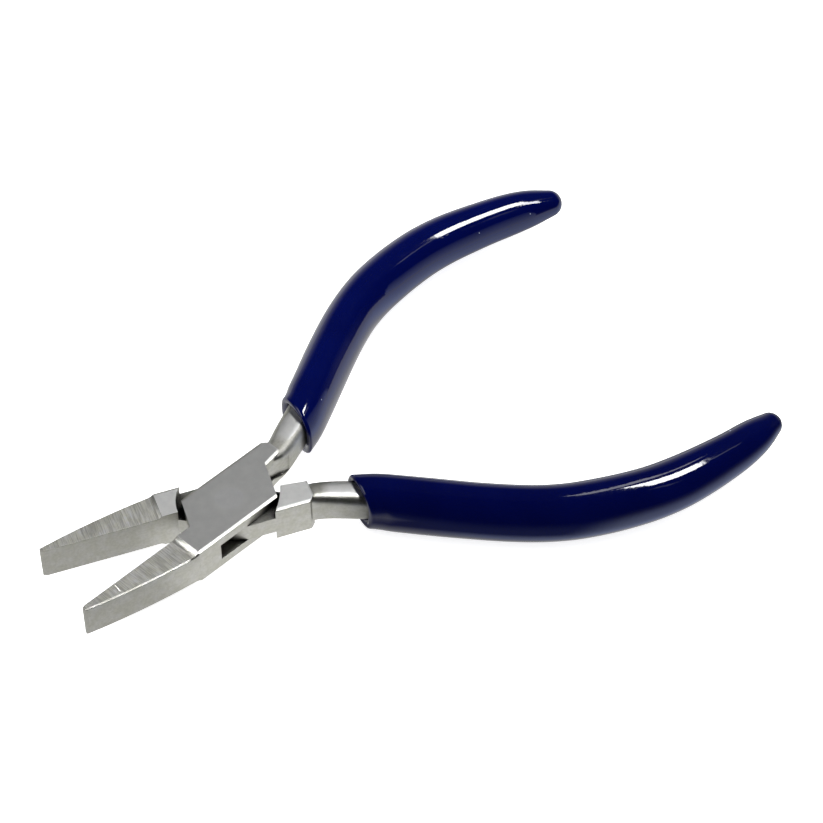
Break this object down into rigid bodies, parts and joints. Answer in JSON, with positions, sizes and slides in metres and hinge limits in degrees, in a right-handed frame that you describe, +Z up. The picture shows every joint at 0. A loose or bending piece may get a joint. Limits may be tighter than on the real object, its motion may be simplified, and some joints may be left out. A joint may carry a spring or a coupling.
{
  "type": "flat nose pliers",
  "caption": "Box-joint flat nose pliers with tapered smooth jaws, a flush pivot rivet and glossy navy vinyl-sleeved handles, shown partly open.",
  "frame": {"origin": "where the pivot axis meets the underside of the box joint", "axes": "+Z up along the pivot axis, square to the flat faces of the box; -X towards the jaw tips and +X towards the handles, along the line that halves the opening angle; +Y towards the handle of the slotted half"},
  "size_m": [0.1243, 0.0832, 0.0109],
  "materials": {
    "ground_steel": "satin ground",
    "pin_steel": "ground flush",
    "vinyl": "high gloss dipped vinyl"
  },
  "bodies": {
    "box_side": {"box_half": "ground_steel", "pivot_pin": "pin_steel", "grip_box": "vinyl"},
    "tongue_side": {"tongue_half": "ground_steel", "grip_tongue": "vinyl"}
  },
  "joints": [
    {"name": "pivot", "type": "hinge", "parent": "box_side", "child": "tongue_side", "pos_m": [0, 0, 0.0036], "axis": [0, 0, -1], "range_deg": [-25, 15]}
  ]
}
